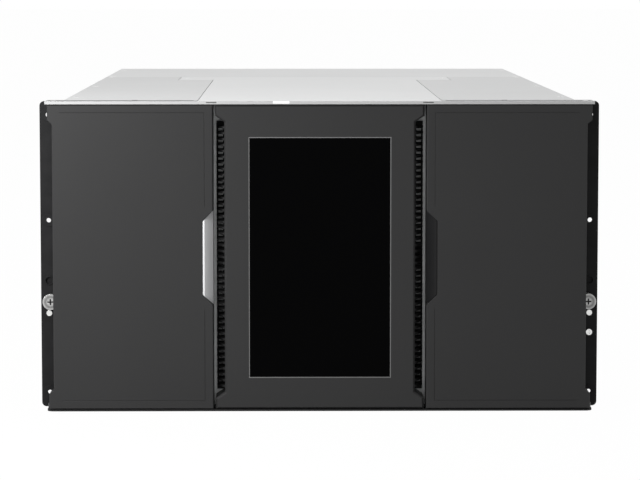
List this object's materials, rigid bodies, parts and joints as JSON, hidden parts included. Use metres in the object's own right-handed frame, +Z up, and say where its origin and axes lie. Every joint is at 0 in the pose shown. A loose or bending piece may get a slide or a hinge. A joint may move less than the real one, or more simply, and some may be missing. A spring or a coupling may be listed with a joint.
{
  "type": "data tape library",
  "caption": "Rack-mounted tape library with a central touch screen between two hinged doors, magazines behind them, an internal picker robot, rear tape drives and hot-swap modules",
  "frame": {"origin": "bottom centre of the whole object, on the surface it stands on", "axes": "+X to the right of someone facing the doors, -Y is the front with the doors and screen, +Y is the rear, +Z up"},
  "size_m": [0.4826, 0.8694, 0.2664],
  "materials": {
    "zinc_sheet": "satin",
    "cover_paint": "satin",
    "ear_black": "satin",
    "sill_black": "satin",
    "bright_screw": "satin",
    "door_plastic": "matte",
    "bezel_plastic": "matte",
    "grip_silver": "satin",
    "grip_dark": "satin",
    "screen_black": "gloss",
    "trim_grey": "satin",
    "display_metal": "satin",
    "board_green": "satin",
    "vent_plastic": "matte",
    "runner_plastic": "matte",
    "magazine_plastic": "matte",
    "cartridge_plastic": "matte",
    "robot_metal": "satin",
    "robot_plastic": "satin",
    "sled_metal": "satin",
    "fan_plastic": "matte",
    "handle_dark": "satin"
  },
  "bodies": {
    "chassis": {"floor_sheet": "zinc_sheet", "side_panel_left": "zinc_sheet", "side_panel_right": "zinc_sheet", "cover_left": "cover_paint", "cover_right": "cover_paint", "cover_centre": "cover_paint", "cover_rear": "cover_paint", "front_frame": "zinc_sheet", "front_hood": "cover_paint", "front_sill": "sill_black", "rack_ear_left": "ear_black", "rack_ear_right": "ear_black", "ear_rivets": "bright_screw", "hinge_pins": "bright_screw", "bezel_shell": "bezel_plastic", "screen_glass": "screen_black", "screen_trim": "trim_grey", "display_module": "display_metal", "display_board": "board_green", "vent_grille_left": "vent_plastic", "vent_grille_right": "vent_plastic", "bay_shelf_left": "zinc_sheet", "bay_shelf_right": "zinc_sheet", "bay_runners": "runner_plastic", "bay_bulkhead": "zinc_sheet", "robot_rails": "zinc_sheet", "drive_cage": "zinc_sheet", "bay_blanks": "sled_metal", "module_cage_left": "zinc_sheet", "module_cage_right": "zinc_sheet", "fan_frames": "fan_plastic", "rear_panel": "zinc_sheet", "rear_handles": "handle_dark", "cover_screws": "bright_screw"},
    "door_left": {"door_left_shell": "door_plastic", "door_left_grip": "grip_silver"},
    "door_right": {"door_right_shell": "door_plastic", "door_right_grip": "grip_dark"},
    "thumbscrew_left": {"thumbscrew_left": "bright_screw"},
    "thumbscrew_right": {"thumbscrew_right": "bright_screw"},
    "robot_carriage": {"robot_carriage": "robot_metal"},
    "robot_lift": {"robot_lift": "robot_metal"},
    "robot_turntable": {"robot_turntable": "robot_plastic"},
    "robot_gripper": {"robot_gripper": "robot_metal"},
    "drive_1": {"drive_sled_1": "sled_metal"},
    "drive_2": {"drive_sled_2": "sled_metal"},
    "drive_3": {"drive_sled_3": "sled_metal"},
    "power_supply_1": {"power_supply_1": "sled_metal"},
    "power_supply_2": {"power_supply_2": "sled_metal"},
    "controller": {"controller_module": "sled_metal"},
    "fan_rotor_left": {"fan_rotor_left": "fan_plastic"},
    "fan_rotor_right": {"fan_rotor_right": "fan_plastic"},
    "magazine_lower_left": {"magazine_lower_left": "magazine_plastic", "cartridges_lower_left": "cartridge_plastic"},
    "magazine_lower_right": {"magazine_lower_right": "magazine_plastic", "cartridges_lower_right": "cartridge_plastic"},
    "magazine_upper_left": {"magazine_upper_left": "magazine_plastic", "cartridges_upper_left": "cartridge_plastic"},
    "magazine_upper_right": {"magazine_upper_right": "magazine_plastic", "cartridges_upper_right": "cartridge_plastic"}
  },
  "joints": [
    {"name": "door_left_swing", "type": "hinge", "parent": "chassis", "child": "door_left", "pos_m": [-0.228, -0.4223, 0.1327], "axis": [0, 0, -1], "range_deg": [0, 105]},
    {"name": "door_right_swing", "type": "hinge", "parent": "chassis", "child": "door_right", "pos_m": [0.228, -0.4223, 0.1327], "axis": [0, 0, 1], "range_deg": [0, 105]},
    {"name": "magazine_lower_left_release", "type": "slide", "parent": "chassis", "child": "magazine_lower_left", "axis": [0, -1, 0], "range_m": [0, 0.018]},
    {"name": "magazine_lower_right_release", "type": "slide", "parent": "chassis", "child": "magazine_lower_right", "axis": [0, -1, 0], "range_m": [0, 0.018]},
    {"name": "magazine_upper_left_release", "type": "slide", "parent": "chassis", "child": "magazine_upper_left", "axis": [0, -1, 0], "range_m": [0, 0.018]},
    {"name": "magazine_upper_right_release", "type": "slide", "parent": "chassis", "child": "magazine_upper_right", "axis": [0, -1, 0], "range_m": [0, 0.018]},
    {"name": "thumbscrew_left_turn", "type": "hinge", "parent": "chassis", "child": "thumbscrew_left", "pos_m": [-0.23255, -0.4053, 0.0922], "axis": [0, -1, 0], "continuous": true},
    {"name": "thumbscrew_right_turn", "type": "hinge", "parent": "chassis", "child": "thumbscrew_right", "pos_m": [0.23255, -0.4053, 0.0922], "axis": [0, -1, 0], "continuous": true},
    {"name": "robot_travel", "type": "slide", "parent": "chassis", "child": "robot_carriage", "axis": [0, 1, 0], "range_m": [0, 0.38]},
    {"name": "robot_lift", "type": "slide", "parent": "robot_carriage", "child": "robot_lift", "axis": [0, 0, 1], "range_m": [0, 0.19]},
    {"name": "robot_turn", "type": "hinge", "parent": "robot_lift", "child": "robot_turntable", "pos_m": [0, -0.2973, 0.0318], "axis": [0, 0, 1], "range_deg": [0, 180]},
    {"name": "robot_reach", "type": "slide", "parent": "robot_turntable", "child": "robot_gripper", "axis": [1, 0, 0], "range_m": [0, 0.024]},
    {"name": "drive_1_slide", "type": "slide", "parent": "chassis", "child": "drive_1", "axis": [0, 1, 0], "range_m": [0, 0.2]},
    {"name": "drive_2_slide", "type": "slide", "parent": "chassis", "child": "drive_2", "axis": [0, 1, 0], "range_m": [0, 0.2]},
    {"name": "drive_3_slide", "type": "slide", "parent": "chassis", "child": "drive_3", "axis": [0, 1, 0], "range_m": [0, 0.2]},
    {"name": "power_supply_1_slide", "type": "slide", "parent": "chassis", "child": "power_supply_1", "axis": [0, 1, 0], "range_m": [0, 0.19]},
    {"name": "power_supply_2_slide", "type": "slide", "parent": "chassis", "child": "power_supply_2", "axis": [0, 1, 0], "range_m": [0, 0.19]},
    {"name": "controller_slide", "type": "slide", "parent": "chassis", "child": "controller", "axis": [0, 1, 0], "range_m": [0, 0.19]},
    {"name": "fan_left_spin", "type": "hinge", "parent": "chassis", "child": "fan_rotor_left", "pos_m": [-0.1505, 0.3989, 0.2149], "axis": [0, 1, 0], "continuous": true},
    {"name": "fan_right_spin", "type": "hinge", "parent": "chassis", "child": "fan_rotor_right", "pos_m": [0.1505, 0.3989, 0.2149], "axis": [0, 1, 0], "continuous": true}
  ]
}
